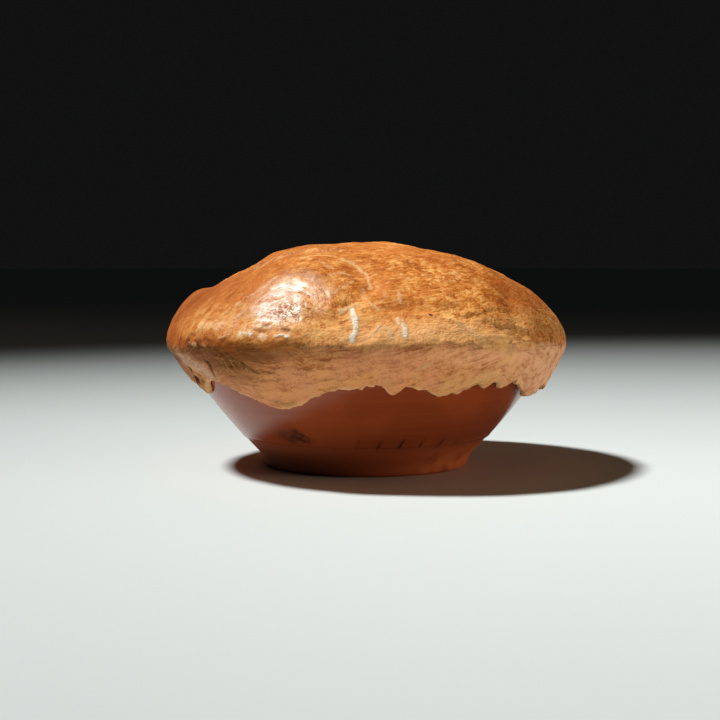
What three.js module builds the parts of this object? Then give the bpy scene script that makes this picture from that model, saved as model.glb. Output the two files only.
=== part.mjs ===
// A baked pot pie: a clay bowl, and a puffed pastry lid that fills it, domes over it and drapes over its rim.
// Millimetres, +Z up. The bowl stands on the XY plane with its axis on Z, and the front is towards -Y.
import * as THREE from "three";

// Clay bowl
const footRadius = 43.4;
const footHeight = 5.4;
const footFlare = 1.6; // how much wider the foot is at its top
const wallStartRadius = 47;
const wallStartHeight = 6.8;
const wallTopRadius = 80.5;
const wallTopHeight = 51;
const wallBelly = 2.2; // how far the wall bows out of a straight cone
const wallThickness = 6.5; // measured level
const floorHeight = 9; // of the inside
const floorCorner = 5; // rounding between the inside floor and wall

// Pastry
const lipRadius = 85; // widest ring of the lid, where it turns down over the rim
const lipHeight = 53;
const lipSway = 0.5; // how far the ring wanders in and out
const swayCount = 5; // times round the lid
const swayStart = 0.8; // radians
const lipRise = { angle: 272, halfWidth: 62, rise: 2 }; // the lip stands higher in front
const lipRiseCurve = 8; // a higher number keeps that rise closer to the lip
const lipRounding = 9; // radius of the turn from dome to skirt
const lipShare = 0.4; // part of the skirt over which that turn runs out
const domeRise = 41;
const domeFullness = 0.62; // lower is fuller at the shoulder
const skirtHang = 13; // from the lip to the torn edge, between the tongues
const skirtBelly = 0.9;
const bellyLean = 0.8; // below 1 the belly is widest nearer the lip
const edgeOffset = 2.2; // outside of the skirt's edge, measured level from the clay
const edgeRounding = 0.45;
const tearDepth = 0.7;
const tearWaves = [17, 29, 43]; // waves round the torn edge, of unlike counts, so that they don't repeat together
const flareCurve = 1.2; // above 1 a flare opens late, towards the edge
const flapOpening = 0.75; // how much of a flare is air behind the dough
const fitGap = 0.4; // between dough and clay
const levelGap = fitGap * 1.3; // the same gap measured level, off the slanted wall
const blisterCount = 46;
const blisterRadius = [4, 8];
const blisterRise = [0.3, 0.8];
const blisterReach = 79; // none lies further from the axis

// Places are given by angle in degrees, anticlockwise from +X, and by distance from the axis.
const tongues = [
  { angle: 183, halfWidth: 9, drop: 4.5 },
  { angle: 203, halfWidth: 7, drop: 6.6 },
  { angle: 241, halfWidth: 16, drop: 10.2 },
  { angle: 277.8, halfWidth: 2.6, drop: 4 },
  { angle: 286, halfWidth: 3.5, drop: 2.2 },
  { angle: 294, halfWidth: 5.5, drop: 5.2 },
  { angle: 298.5, halfWidth: 4.2, drop: 5 },
  { angle: 308.3, halfWidth: 1.8, drop: 2.4 },
  { angle: 317, halfWidth: 5, drop: 2.3 },
  { angle: 336, halfWidth: 11, drop: 8.2 },
  { angle: 351, halfWidth: 10, drop: 6.5 },
  { angle: 25, halfWidth: 9, drop: 3 },
  { angle: 62, halfWidth: 15, drop: 8 },
  { angle: 84, halfWidth: 5, drop: 4 },
  { angle: 104, halfWidth: 8, drop: 3.5 },
  { angle: 133, halfWidth: 14, drop: 9 },
  { angle: 160, halfWidth: 5, drop: 3 },
];
const flares = [
  { angle: 355, halfWidth: 34, reach: 4.6 }, // the skirt stands off the clay
  { angle: 188, halfWidth: 14, reach: 1.4 },
  { angle: 80, halfWidth: 30, reach: 1.4 },
];
const swellings = [
  { angle: 243, distance: 52, radius: 22, rise: 4.8 }, // front left lobe
  { angle: 318, distance: 46, radius: 30, rise: 1.2 }, // front right lobe
  { angle: 186, distance: 74, radius: 13, rise: 3.8 }, // knob on the left shoulder
  { angle: 184, distance: 57, radius: 11, rise: -3.2 }, // hollow above it
  { angle: 170, distance: 34, radius: 18, rise: 2 },
  { angle: 350, distance: 8, radius: 9, rise: 1.1 }, // knob at the crown
  { angle: 345, distance: 26, radius: 12, rise: -1 },
  { angle: 60, distance: 52, radius: 26, rise: 1.8 },
  { angle: 118, distance: 55, radius: 24, rise: 1.5 },
];
const creases = [
  { from: [254, 36], to: [271, 66], width: 6, depth: 1.2 }, // between the front lobes
  { from: [271, 66], to: [262, 80], width: 3.5, depth: 1.3 },
  { from: [278, 76], to: [297, 78], width: 3.5, depth: 1.2 },
  { from: [211, 56], to: [240, 38], width: 5, depth: 1.6 }, // behind the front left lobe
  { from: [324, 70], to: [316, 83], width: 5, depth: 1.4 },
  { from: [88, 30], to: [91, 78], width: 6, depth: 1.8 },
  { from: [150, 45], to: [138, 80], width: 5, depth: 1.3 },
  { from: [20, 50], to: [31, 80], width: 5, depth: 1.2 },
];

// Fineness of the faceted surfaces
const bowlSegments = 72;
const pastrySegments = 144;
const domeRings = 13;
const skirtRings = 5;
const rimSteps = 6;
const wallRings = 6;
const innerWallRings = 4;

const radians = THREE.MathUtils.degToRad;
const mix = THREE.MathUtils.lerp;

// Angle from a to b in degrees, between -180 and 180.
function turn(a, b) {
  return THREE.MathUtils.euclideanModulo(b - a + 180, 360) - 180;
}

// Smooth bump, 1 at zero and nearly 0 beyond twice the width.
function bump(distance, width) {
  return Math.exp(-((distance / width) ** 2));
}

function planPoint([angle, distance]) {
  return new THREE.Vector2(distance, 0).rotateAround(new THREE.Vector2(), radians(angle));
}

// A number from 0 to 1 that looks random and is the same on every run.
function draw(seed) {
  return THREE.MathUtils.euclideanModulo(Math.sin(seed * 12.9898) * 43758.5453, 1);
}

// Outside of the clay wall at a height.
function wallRadius(z) {
  const t = (z - wallStartHeight) / (wallTopHeight - wallStartHeight);
  return mix(wallStartRadius, wallTopRadius, t) + wallBelly * 4 * t * (1 - t);
}

// The bowl's round rim, seen in section, from outside over the top to inside.
function rimArc(clearance) {
  const centre = new THREE.Vector2(wallTopRadius - wallThickness / 2, wallTopHeight);
  const radius = wallThickness / 2 + clearance;
  return Array.from({ length: rimSteps + 1 }, (_, i) => {
    const a = (Math.PI * i) / rimSteps;
    return new THREE.Vector2(centre.x + radius * Math.cos(a), centre.y + radius * Math.sin(a));
  });
}

// The inside of the bowl, from below the rim to the middle of the floor, moved inwards by a gap if one is given.
function insideProfile(levelClearance, clearance) {
  const low = floorHeight + floorCorner;
  const wall = Array.from({ length: innerWallRings }, (_, i) => {
    const z = mix(wallTopHeight, low, (i + 1) / innerWallRings);
    return new THREE.Vector2(wallRadius(z) - wallThickness - levelClearance, z);
  });
  const base = floorHeight + clearance;
  const corner = wall.at(-1).x - floorCorner;
  return [
    ...wall,
    new THREE.Vector2(corner + floorCorner * 0.6, base + floorCorner * 0.3),
    new THREE.Vector2(corner, base),
    new THREE.Vector2(0, base),
  ];
}

function makeBowl() {
  const foot = [
    new THREE.Vector2(0, 0),
    new THREE.Vector2(footRadius, 0),
    new THREE.Vector2(footRadius + footFlare * 0.4, footHeight * 0.5),
    new THREE.Vector2(footRadius + footFlare, footHeight),
  ];
  const wall = Array.from({ length: wallRings }, (_, i) => {
    const z = mix(wallStartHeight, wallTopHeight, i / wallRings);
    return new THREE.Vector2(wallRadius(z), z);
  });
  const profile = [...foot, ...wall, ...rimArc(0), ...insideProfile(0, 0)];
  const geometry = new THREE.LatheGeometry(profile, bowlSegments).rotateX(Math.PI / 2);
  const clay = new THREE.MeshStandardMaterial({ color: 0x8a4a2c, roughness: 0.38, metalness: 0 });
  const mesh = new THREE.Mesh(geometry, clay);
  mesh.name = "clay_bowl";
  return mesh;
}

// Torn outline: the faster waves are lower, and each starts at its own place.
function tear(angle) {
  return tearWaves.reduce((sum, n, i) => sum + Math.sin(radians(n * angle) + 1.7 * n) / (1 + i * 0.6), 0);
}

function edgeHeight(angle) {
  const drops = tongues.map((t) => t.drop * bump(turn(t.angle, angle), t.halfWidth));
  return lipHeight - skirtHang - Math.max(...drops) - (tearDepth / 2) * tear(angle);
}

function lipAt(angle) {
  return lipRadius + lipSway * Math.sin(radians(swayCount * angle) + swayStart);
}

function lipTop(angle) {
  return lipHeight + lipRise.rise * bump(turn(lipRise.angle, angle), lipRise.halfWidth);
}

function standOff(angle) {
  return flares.reduce((sum, f) => sum + f.reach * bump(turn(f.angle, angle), f.halfWidth), 0);
}

// Small bubbles of the baked dough, spread evenly over the dome.
const blisters = Array.from({ length: blisterCount }, (_, i) => ({
  angle: 360 * draw(4 * i + 1),
  distance: blisterReach * Math.sqrt(draw(4 * i + 2)),
  radius: mix(...blisterRadius, draw(4 * i + 3)),
  rise: mix(...blisterRise, draw(4 * i + 4)),
}));

// Lobes, hollows, bubbles and creases of the dome, as a height along its normal at a place in plan.
function domeRelief(x, y) {
  const place = new THREE.Vector2(x, y);
  const lobes = [...swellings, ...blisters].reduce((sum, s) => {
    const away = place.distanceTo(planPoint([s.angle, s.distance]));
    return sum + s.rise * bump(away, s.radius);
  }, 0);
  const folds = creases.reduce((sum, c) => {
    const start = planPoint(c.from);
    const along = planPoint(c.to).sub(start);
    const t = THREE.MathUtils.clamp(place.clone().sub(start).dot(along) / along.lengthSq(), 0, 1);
    const away = place.distanceTo(start.addScaledVector(along, t));
    return sum + c.depth * bump(away, c.width);
  }, 0);
  return lobes - folds;
}

// A point on the dome in section: share is 0 at the crown and 1 at the lip.
function domePoint(share, angle) {
  const lip = lipAt(angle);
  const a = radians(angle);
  const base = Math.max(1 - share ** 2, 0);
  const steep = share < 1 ? (domeRise * domeFullness * base ** (domeFullness - 1) * 2 * share) / lip : Infinity;
  const tilt = Math.atan(steep);
  const relief = domeRelief(share * lip * Math.cos(a), share * lip * Math.sin(a)) * Math.sqrt(1 - share ** 6);
  const foot = mix(lipHeight, lipTop(angle), share ** lipRiseCurve);
  return new THREE.Vector2(
    share * lip + relief * Math.sin(tilt) * share,
    foot + domeRise * base ** domeFullness + relief * Math.cos(tilt),
  );
}

// A point on the skirt in section: share is 0 at the lip and 1 at the torn edge, on its outside or inside.
function skirtPoint(share, angle, outside) {
  const top = outside ? lipTop(angle) : lipHeight;
  const z = mix(top, edgeHeight(angle), share);
  const lifted = standOff(angle) * share ** flareCurve;
  if (!outside) {
    return new THREE.Vector2(wallRadius(z) + levelGap + lifted * flapOpening, z);
  }
  const lipOffset = lipAt(angle) - wallRadius(top);
  const thick = mix(lipOffset, edgeOffset, share) + skirtBelly * Math.sin(Math.PI * share ** bellyLean);
  const roundLip = lipAt(angle) - (top - z) ** 2 / (2 * lipRounding);
  const draped = THREE.MathUtils.smoothstep(share, 0, lipShare);
  return new THREE.Vector2(mix(roundLip, wallRadius(z) + thick, draped) + lifted, z);
}

// The section of the lid at an angle: crown, lip, torn edge, back up the clay, over the rim and down inside.
function pastrySection(angle) {
  const dome = Array.from({ length: domeRings + 1 }, (_, i) =>
    domePoint(Math.sin((Math.PI / 2) * (i / domeRings)), angle),
  );
  const shares = Array.from({ length: skirtRings }, (_, i) => (i + 1) / skirtRings);
  const outside = shares.map((share) => skirtPoint(share, angle, true));
  const inside = shares.map((share) => skirtPoint(share, angle, false)).reverse();
  const edge = outside.at(-1).clone().lerp(inside[0], 0.5);
  edge.y -= edgeRounding;
  return [...dome, ...outside, edge, ...inside, ...rimArc(fitGap), ...insideProfile(levelGap, fitGap)];
}

function makePastry() {
  const rows = pastrySection(0).reverse();
  const geometry = new THREE.LatheGeometry(rows, pastrySegments).rotateX(Math.PI / 2);
  const position = geometry.getAttribute("position");
  for (let column = 0; column <= pastrySegments; column++) {
    const angle = 360 * ((column % pastrySegments) / pastrySegments);
    const a = radians(angle);
    pastrySection(angle)
      .reverse()
      .forEach((point, row) => {
        const index = column * rows.length + row;
        position.setXYZ(index, point.x * Math.cos(a), point.x * Math.sin(a), point.y);
      });
  }
  geometry.computeVertexNormals();
  const crust = new THREE.MeshStandardMaterial({ color: 0xc8803f, roughness: 0.5, metalness: 0 });
  const mesh = new THREE.Mesh(geometry, crust);
  mesh.name = "pastry_lid";
  return mesh;
}

const pie = new THREE.Group();
pie.name = "pot_pie";
pie.add(makeBowl(), makePastry());

export default pie;
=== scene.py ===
# Pot pie: a puffed pastry lid baked over the rim of a clay bowl.
# Sizes in the dictionaries are millimetres and degrees, meshes are in metres, in the frame's own axes.
import math
from types import SimpleNamespace
import bpy
import numpy as np
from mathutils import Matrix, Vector, noise


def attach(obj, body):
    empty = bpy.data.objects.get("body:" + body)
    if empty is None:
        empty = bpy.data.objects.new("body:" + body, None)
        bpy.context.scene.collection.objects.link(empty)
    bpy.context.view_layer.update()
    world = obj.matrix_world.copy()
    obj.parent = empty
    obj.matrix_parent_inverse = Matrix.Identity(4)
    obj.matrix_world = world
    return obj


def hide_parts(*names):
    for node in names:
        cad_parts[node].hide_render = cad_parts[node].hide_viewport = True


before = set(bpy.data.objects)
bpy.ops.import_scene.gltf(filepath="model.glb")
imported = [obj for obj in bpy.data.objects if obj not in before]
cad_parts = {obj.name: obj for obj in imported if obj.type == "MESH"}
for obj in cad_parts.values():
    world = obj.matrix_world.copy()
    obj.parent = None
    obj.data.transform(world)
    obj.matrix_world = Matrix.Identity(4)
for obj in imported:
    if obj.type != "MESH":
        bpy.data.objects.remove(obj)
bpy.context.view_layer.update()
mm = 0.001
print("frame loaded:", list(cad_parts))


# small helpers

def mix(a, b, share):  # numbers, arrays and a finish's wires
    return a + (b - a) * share


def ease(low, high, value):  # smooth step from 0 at low to 1 at high
    share = np.clip((value - low) / (high - low), 0, 1)
    return share * share * (3 - 2 * share)


def bump(distance, width):
    return np.exp(-(distance / width) ** 2)


def turn(a, b):  # from angle a to angle b, between -180 and 180
    return (b - a + 180) % 360 - 180


def draw(seed):  # a number between 0 and 1, the same on every run
    return math.sin(seed * 12.9898) * 43758.5453 % 1


def polar(angle, distance):
    return np.array([math.cos(math.radians(angle)), math.sin(math.radians(angle))]) * distance


def arc(middle, radius, angles):  # points of a rounding in a section: 0 degrees is outwards, 90 is up
    return [tuple(middle + polar(a, radius)) for a in angles]


def cloud(points, size, seed=0):  # smooth noise from about -1 to 1, lumps of the given size
    shift = Vector((3.7 * seed, -5.1 * seed, 7.9 * seed))
    return np.array([noise.noise(Vector(p) / size + shift) for p in points])


def ridges(points, size, seed=0):  # noise with sharp crests, from about -1 to 1
    return 1 - 2.6 * np.abs(cloud(points, size, seed))


def readPoints(mesh):
    points = np.empty(len(mesh.vertices) * 3)
    mesh.vertices.foreach_get("co", points)
    return points.reshape(-1, 3) / mm


def writePoints(mesh, points):
    mesh.vertices.foreach_set("co", (points * mm).ravel())
    mesh.update()


def readNormals(mesh):
    normals = np.empty(len(mesh.vertices) * 3)
    mesh.vertex_normals.foreach_get("vector", normals)
    return normals.reshape(-1, 3)


def readValues(mesh, name):
    values = np.empty(len(mesh.vertices))
    mesh.attributes[name].data.foreach_get("value", values)
    return values


def keepValues(mesh, name, values):  # paints a value on every vertex, for the finish to read
    layer = mesh.attributes.get(name) or mesh.attributes.new(name, "FLOAT", "POINT")
    layer.data.foreach_set("value", np.asarray(values, dtype=np.float32))


def spinSection(name, section, turns):
    # draws a section point by point, as by hand, then spins it round the Z axis
    # each point is (radius, height, place along the section)
    bpy.ops.object.select_all(action="DESELECT")
    r, z, _ = section[0]
    bpy.ops.mesh.primitive_plane_add(size=mm, location=(0, 0, 0))
    piece = bpy.context.object
    piece.name = name
    piece.data.name = name
    bpy.ops.object.mode_set(mode="EDIT")
    bpy.ops.mesh.select_mode(type="VERT")
    bpy.ops.mesh.select_all(action="SELECT")
    bpy.ops.mesh.merge(type="CENTER")
    bpy.ops.transform.translate(value=(r * mm, 0, z * mm))
    for (r0, z0, _), (r1, z1, _) in zip(section, section[1:]):
        step = ((r1 - r0) * mm, 0, (z1 - z0) * mm)
        bpy.ops.mesh.extrude_region_move(TRANSFORM_OT_translate={"value": step})
    bpy.ops.object.mode_set(mode="OBJECT")
    drawn = readPoints(piece.data)  # the extrude may number its points in another order
    nearest = [min(section, key=lambda p: (p[0] - x) ** 2 + (p[1] - z) ** 2) for x, _, z in drawn]
    keepValues(piece.data, "along", [a for _, _, a in nearest])
    lathe = piece.modifiers.new("lathe", "SCREW")
    lathe.steps = lathe.render_steps = turns
    lathe.use_smooth_shade = True
    bpy.ops.object.modifier_apply(modifier=lathe.name)
    bpy.ops.object.mode_set(mode="EDIT")
    bpy.ops.mesh.select_all(action="SELECT")
    bpy.ops.mesh.remove_doubles(threshold=0.001 * mm)
    bpy.ops.mesh.normals_make_consistent(inside=False)
    bpy.ops.object.mode_set(mode="OBJECT")
    return piece


# clay bowl

bowl = {
    "footRadius": 43.4,
    "footHeight": 5.4,
    "footFlare": 1.6,
    "footRounding": 2.2,
    "footSoftness": 0.5,        # how softly foot and wall run into each other
    "footLand": 3,              # last flat ring before the rounding
    "wallStart": (47, 6.8),     # radius and height where the wall leaves the foot
    "wallTop": (80.5, 51),
    "wallBelly": 2.2,           # how far the wall bows out of a straight cone
    "wallThickness": 6.5,
    "floorHeight": 9,
    "floorRounding": 5,         # between floor and wall, inside
    "trimHeight": 12.5,         # below this line the wall was cut with a tool and left bare
    "trimDepth": 0.45,
    "trimBlend": 0.7,           # half the height of the step
    "burr": (0.2, 0.8, 0.6),    # along the top of the cut: how far out, how far above it, half width
    "rings": (0.05, 1.9),       # marks of the thrower's fingers: depth and height
    "wobble": (0.12, 24),       # the wall isn't quite round: depth and size
    "wallRows": 84,
    "insideRows": 6,
    "arcStep": 15,              # degrees between the points of a rounding
    "turns": 288,
}


def wallRadius(z):
    (r0, z0), (r1, z1) = bowl["wallStart"], bowl["wallTop"]
    share = (z - z0) / (z1 - z0)
    return mix(r0, r1, share) + bowl["wallBelly"] * 4 * share * (1 - share)


def outerRadius(z):  # foot and wall, run into each other
    foot = bowl["footRadius"] + bowl["footFlare"] * z / bowl["footHeight"]
    cut, blend = bowl["trimHeight"], bowl["trimBlend"]
    wall = wallRadius(z) - bowl["trimDepth"] * (1 - ease(cut - blend, cut + blend, z))
    out, above, width = bowl["burr"]
    wall += out * bump(z - cut - above, width)
    soft = bowl["footSoftness"]
    return soft * np.logaddexp(foot / soft, wall / soft)


def rimMiddle():  # middle of the round rim, in the section
    r, z = bowl["wallTop"]
    return np.array([r - bowl["wallThickness"] / 2, z])


def bowlSection():
    edge, step, thickness = bowl["footRounding"], bowl["arcStep"], bowl["wallThickness"]
    top, low, rounding = bowl["wallTop"][1], bowl["floorHeight"], bowl["floorRounding"]
    corner = outerRadius(edge) - edge
    points = [(0, 0), (corner - bowl["footLand"], 0)]
    points += arc(np.array([corner, edge]), edge, range(-90, 0, step))
    points += [(outerRadius(z), z) for z in np.linspace(edge, top, bowl["wallRows"])]
    points += arc(rimMiddle(), thickness / 2, range(step, 181, step))
    for z in np.linspace(top, low + rounding, bowl["insideRows"])[1:]:
        points.append((wallRadius(z) - thickness, z))
    flat = points[-1][0] - rounding
    points += [(flat + 0.6 * rounding, low + 0.3 * rounding), (flat, low), (0, low)]
    return [(r, z, 0) for r, z in points]


def makeBowl():
    piece = spinSection("bowl_thrown", bowlSection(), bowl["turns"])
    points = readPoints(piece.data)
    radius, height = np.hypot(points[:, 0], points[:, 1]), points[:, 2]
    outside = ease(0.5, 1.5, height) * (radius > wallRadius(height) - 2)
    (ringDepth, ringSize), (wobbleDepth, wobbleSize) = bowl["rings"], bowl["wobble"]
    rings = cloud(np.stack([0 * radius, 0 * radius, height], 1), ringSize)
    push = outside * (ringDepth * rings + wobbleDepth * cloud(points, wobbleSize, 3))
    points[:, :2] *= (1 + push / np.maximum(radius, 1))[:, None]
    writePoints(piece.data, points)
    return piece


# pastry lid

lid = {
    "lipRadius": 85,          # widest ring, where the dough turns down over the rim
    "lipHeight": 53,
    "lipSway": (0.5, 5, 0.8),  # how far it sways in and out, how often round, start in radians
    "lipRise": (272, 62, 2),  # angle, half width, rise: the lip stands higher in front
    "lipBlend": 8,            # higher keeps that rise nearer to the lip
    "lipRounding": 9,
    "lipShare": 0.4,          # how much of the skirt the lip's rounding takes
    "domeRise": 41,
    "domeFullness": 0.62,     # lower is fuller at the shoulder
    "reliefBlend": 6,         # higher carries lobes and creases nearer to the lip
    "skirtHang": 13,          # from the lip to the torn edge, between the tongues
    "skirtBelly": (0.9, 0.8),  # how far it bulges, and a curve: below 1 the bulge is above the middle
    "edgeOffset": 1.5,        # outside of the torn edge, measured level from the clay
    "edgeRounding": 0.35,
    "flapOpening": 0.75,      # how much of a flare is air behind the dough
    "flapCurve": 1.2,         # higher opens a flare nearer to the edge
    "stuck": 0.15,            # gap between dough and clay
    "fillingGap": 0.2,
    "fillingHeights": (38, 26, 15),
    "fillingFloor": (36, 9.3),  # radius and height of its flat underside
    "blisters": {"count": 46, "radius": (4, 8), "rise": (0.3, 0.8), "reach": 79},
    "turns": 560,
    "crowding": 0.55,         # how much closer the columns of vertices stand in front than behind
    "rowCrowding": 0.94,      # lower puts more rows of vertices near the lip
    "rows": {"dome": 110, "skirt": 36, "edge": 5, "inside": 8},
}

# places are (angle, half width, drop): the torn edge hangs lower there
tongues = [
    (183, 9, 4.5), (203, 7, 6.6), (241, 16, 10.2), (277.8, 2.6, 4), (286, 3.5, 2.2), (294, 5.5, 5.2),
    (298.5, 4.2, 5), (308.3, 1.8, 2.4), (317, 5, 2.3), (336, 11, 8.2), (351, 10, 6.5),
    (25, 9, 3), (62, 15, 8), (84, 5, 4), (104, 8, 3.5), (133, 14, 9), (160, 5, 3),
]
flares = [(355, 34, 4.6), (188, 14, 1.4), (80, 30, 1.4)]  # angle, half width, how far the skirt stands off
tear = {
    "depth": 0.35,             # of the slow waves along the torn edge
    "waves": (17, 29, 43),     # how many of them there are round the pie
    "ringRadius": 74,          # where the noise of the teeth is read
    "ragged": 0.5,
    "moreRagged": [(308, 34, 0.8), (100, 40, 0.6)],  # angle, half width, how much more
}

# angle, distance from the axis in plan, radius, rise
swellings = [
    (243, 52, 22, 4.8),    # front left lobe
    (318, 46, 30, 1.2),    # front right lobe
    (186, 74, 13, 3.8),    # knob on the left shoulder
    (184, 57, 11, -3.2),   # hollow above it
    (170, 34, 18, 2),
    (350, 8, 9, 1.1),      # knob at the crown
    (345, 26, 12, -1),
    (60, 52, 26, 1.8),
    (118, 55, 24, 1.5),
]
# from (angle, distance) to (angle, distance), width, depth
creases = [
    ((254, 36), (271, 66), 6, 1.2),    # between the front lobes
    ((271, 66), (262, 80), 3.5, 1.3),
    ((278, 76), (297, 78), 3.5, 1.2),
    ((211, 56), (240, 38), 5, 1.6),    # behind the front left lobe
    ((324, 70), (316, 83), 5, 1.4),
    ((88, 30), (91, 78), 6, 1.8),
    ((150, 45), (138, 80), 5, 1.3),
    ((20, 50), (31, 80), 5, 1.2),
]


def blisters():
    made = []
    b = lid["blisters"]
    for seed in range(0, 4 * b["count"], 4):
        angle = 360 * draw(seed + 1)
        distance = b["reach"] * math.sqrt(draw(seed + 2))
        made.append((angle, distance, mix(*b["radius"], draw(seed + 3)), mix(*b["rise"], draw(seed + 4))))
    return made


def strokeDistance(plan, start, end):  # from points to a straight stroke
    along = end - start
    share = np.clip((plan - start) @ along / (along @ along), 0, 1)
    return np.linalg.norm(plan - start - share[:, None] * along, axis=1)


def domeRelief(plan):
    height = np.zeros(len(plan))
    for angle, distance, radius, rise in swellings + blisters():
        height += rise * bump(np.linalg.norm(plan - polar(angle, distance), axis=1), radius)
    for start, end, width, depth in creases:
        height -= depth * bump(strokeDistance(plan, polar(*start), polar(*end)), width)
    return height


def lipAt(angle):
    sway, times, start = lid["lipSway"]
    return lid["lipRadius"] + sway * np.sin(np.radians(times * angle) + start)


def lipRaise(angle):
    place, width, rise = lid["lipRise"]
    return rise * bump(turn(place, angle), width)


def domePoint(share, angle):
    lip = lipAt(angle)
    base = np.clip(1 - share ** 2, 1e-9, 1)
    rise, full = lid["domeRise"], lid["domeFullness"]
    tilt = np.arctan(rise * full * base ** (full - 1) * 2 * share / lip)
    plan = np.stack([np.cos(np.radians(angle)), np.sin(np.radians(angle))], 1) * (share * lip)[:, None]
    relief = domeRelief(plan) * np.sqrt(1 - np.clip(share, 0, 1) ** lid["reliefBlend"])
    height = lid["lipHeight"] + rise * base ** full + lipRaise(angle) * share ** lid["lipBlend"]
    return share * lip + relief * np.sin(tilt) * share, height + relief * np.cos(tilt)


def edgeHeight(angle):
    drops = np.max([drop * bump(turn(place, angle), width) for place, width, drop in tongues], axis=0)
    waves = sum(np.sin(np.radians(n * angle) + 1.7 * n) / (1 + 0.6 * i) for i, n in enumerate(tear["waves"]))
    ring = np.stack([np.cos(np.radians(angle)), np.sin(np.radians(angle)), 0 * angle], 1) * tear["ringRadius"]
    ragged = tear["ragged"]
    for place, width, more in tear["moreRagged"]:
        ragged = ragged + more * bump(turn(place, angle), width)
    ragged *= 0.5 + 1.3 * ease(-0.2, 0.4, cloud(ring, 8, 6))
    teeth = 0.6 * cloud(ring, 5, 1) - 0.6 * ridges(ring, 3.2, 2) - 0.3 * ridges(ring, 1.6, 3)
    return lid["lipHeight"] - lid["skirtHang"] - drops - tear["depth"] * waves - ragged * teeth


def standOff(angle):
    return sum(reach * bump(turn(place, angle), width) for place, width, reach in flares)


def skirtPoint(share, angle, edge, outside):
    lifted = standOff(angle) * share ** lid["flapCurve"]
    if not outside:
        z = mix(lid["lipHeight"], edge, share)
        return wallRadius(z) + lid["stuck"] + lifted * lid["flapOpening"], z
    lipTop = lid["lipHeight"] + lipRaise(angle)
    z = mix(lipTop, edge, share)
    belly, curve = lid["skirtBelly"]
    lipOffset = lipAt(angle) - wallRadius(lipTop)
    thick = mix(lipOffset, lid["edgeOffset"], share) + belly * np.sin(np.pi * share ** curve)
    roundLip = lipAt(angle) - (lipTop - z) ** 2 / (2 * lid["lipRounding"])
    return mix(roundLip, wallRadius(z) + thick, ease(0, lid["lipShare"], share)) + lifted, z


def lidSection():
    # a plain section to spin, which makeLid then shapes by the place along it: the dome is 0 to 1,
    # the skirt's outside 1 to 2, its edge 2 to 3, its inside 3 to 4, and what is hidden (5) stays as drawn
    rows, lip, hidden = lid["rows"], lid["lipHeight"], 5
    rim, thickness = bowl["wallTop"][1], bowl["wallThickness"]
    edge = lip - lid["skirtHang"] - 1
    section = []
    for s in np.sin(np.pi / 2 * np.linspace(0, 1, rows["dome"]) ** lid["rowCrowding"]):
        z = lip + lid["domeRise"] * max(1 - s * s, 0) ** lid["domeFullness"]
        section.append((lid["lipRadius"] * s, z, s))
    for s in np.linspace(0, 1, rows["skirt"] + 1)[1:]:
        z = mix(lip, edge, s)
        section.append((wallRadius(z) + 2 * lid["edgeOffset"], z, 1 + s))
    for s in np.linspace(0, 1, rows["edge"] + 1)[1:-1]:
        section.append((wallRadius(edge - 1) + mix(2, 0.5, s), edge - 1 - 0.4 * math.sin(math.pi * s), 2 + s))
    for s in np.linspace(0, 1, rows["inside"])[:-1]:
        z = mix(edge, rim - 1, s)
        section.append((wallRadius(z) + lid["stuck"], z, 3 + s))
    section += [(r, z, hidden) for r, z in arc(rimMiddle(), thickness / 2 + lid["stuck"], range(0, 181, 45))]
    section += [(wallRadius(z) - thickness - lid["fillingGap"], z, hidden) for z in lid["fillingHeights"]]
    radius, floor = lid["fillingFloor"]
    return section + [(radius, floor, hidden), (0, floor, hidden)]


def makeLid():
    piece = spinSection("lid_baked", lidSection(), lid["turns"])
    mesh = piece.data
    points = readPoints(mesh)
    along = readValues(mesh, "along")
    fromFront = np.arctan2(points[:, 0], -points[:, 1])
    angle = (270 + np.degrees(fromFront - lid["crowding"] * np.sin(fromFront))) % 360
    radius, height = np.hypot(points[:, 0], points[:, 1]), points[:, 2].copy()
    edge = edgeHeight(angle)
    domeR, domeZ = domePoint(np.clip(along, 0, 1), angle)
    outR, outZ = skirtPoint(np.clip(along - 1, 0, 1), angle, edge, True)
    inR, inZ = skirtPoint(np.clip(4 - along, 0, 1), angle, edge, False)
    share = np.clip(along - 2, 0, 1)
    endR, _ = skirtPoint(np.ones(len(along)), angle, edge, True)
    backR, _ = skirtPoint(np.ones(len(along)), angle, edge, False)
    rollR = mix(endR, backR, 0.5 - 0.5 * np.cos(np.pi * share))
    rollZ = edge - lid["edgeRounding"] * np.sin(np.pi * share)
    parts = [along <= 1, along <= 2, along < 3, along < 4]
    radius = np.select(parts, [domeR, outR, rollR, inR], radius)
    height = np.select(parts, [domeZ, outZ, rollZ, inZ], height)
    a = np.radians(angle)
    writePoints(mesh, np.stack([radius * np.cos(a), radius * np.sin(a), height], 1))
    wrinkleLid(mesh, along, angle, radius, height)
    return piece


# the dough as a flat sheet: every place is (angle, millimetres along the dough from the crown)

def domeArc():  # radius, height and length along the plain dome, crown to lip
    share = np.linspace(0, 1, 400)
    radius = lid["lipRadius"] * share
    height = lid["lipHeight"] + lid["domeRise"] * np.clip(1 - share ** 2, 0, 1) ** lid["domeFullness"]
    length = np.concatenate([[0], np.cumsum(np.hypot(np.diff(radius), np.diff(height)))])
    return share, radius, height, length


skirtSlant = 1.17  # length along the skirt for each millimetre down


def doughLength(along, angle, height):
    share, _, _, length = domeArc()
    below = np.where(along > 1, lid["lipHeight"] + lipRaise(angle) - height, 0)
    return np.interp(along, share, length) + below * skirtSlant


def domeSpot(angle, place):  # point of the plain dome under a place on the sheet
    _, radius, height, length = domeArc()
    return np.array([*polar(angle, np.interp(place, length, radius)), np.interp(place, length, height)])


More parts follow.
